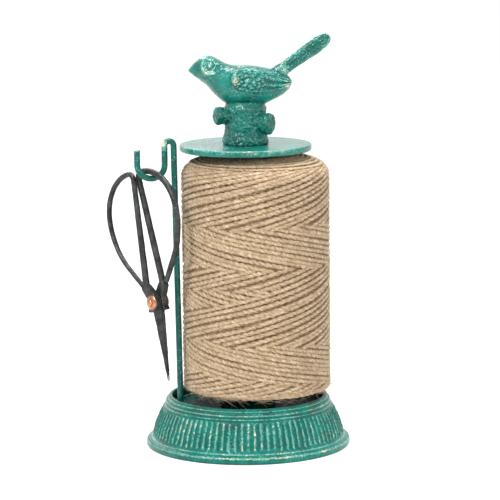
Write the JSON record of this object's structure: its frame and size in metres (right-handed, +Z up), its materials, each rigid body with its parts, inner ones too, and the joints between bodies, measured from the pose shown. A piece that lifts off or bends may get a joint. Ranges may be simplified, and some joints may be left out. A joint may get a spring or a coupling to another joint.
{
  "type": "string holder",
  "caption": "Cast-iron table stand for a spool of twine, with a bird finial, a wire hook and small scissors hung on it.",
  "frame": {"origin": "centre of the base's underside, on the spindle's axis", "axes": "+Z up along the spindle, -Y to the front, +X to the right, with the hook and scissors on the -X side"},
  "size_m": [0.1505, 0.127, 0.2557],
  "materials": {
    "green_enamel": "satin enamel rubbed with gold on cast iron",
    "green_wire": "satin enamel on steel wire",
    "steel": "zinc plated",
    "cardboard": "raw cardboard",
    "jute": "natural two-ply jute",
    "black_iron": "forge black, oiled",
    "copper": "aged copper"
  },
  "bodies": {
    "root": {"base_casting": "green_enamel", "spindle": "steel", "spindle_washer": "steel", "spindle_nut": "steel", "plate_nut": "steel", "hook_rod": "green_wire", "hook_washer": "steel", "hook_nut": "steel"},
    "plate": {"top_plate": "green_enamel"},
    "bird": {"bird_finial": "green_enamel"},
    "spool": {"core_tube": "cardboard", "twine_core": "jute", "twine_winding": "jute"},
    "scissors": {"scissors_rear_half": "black_iron", "scissors_rivet": "copper", "front_washer": "copper", "rear_washer": "copper"},
    "front_blade": {"scissors_front_half": "black_iron"}
  },
  "joints": [
    {"name": "plate_lift", "type": "slide", "parent": "root", "child": "plate", "axis": [0, 0, 1], "range_m": [0, 0.06]},
    {"name": "bird_turn", "type": "hinge", "parent": "plate", "child": "bird", "pos_m": [0, 0, 0.1883], "axis": [0, 0, 1], "continuous": true},
    {"name": "spool_turn", "type": "hinge", "parent": "root", "child": "spool", "pos_m": [0.0058, 0, 0.0345], "axis": [0, 0, 1], "continuous": true},
    {"name": "scissors_swing", "type": "hinge", "parent": "root", "child": "scissors", "pos_m": [-0.058, -0.015, 0.1691], "axis": [-0.766, -0.6428, 0], "range_deg": [-10, 10]},
    {"name": "blade_pivot", "type": "hinge", "parent": "scissors", "child": "front_blade", "pos_m": [-0.05472, -0.02248, 0.09377], "axis": [-0.766, -0.6428, 0], "range_deg": [0, 35]}
  ]
}
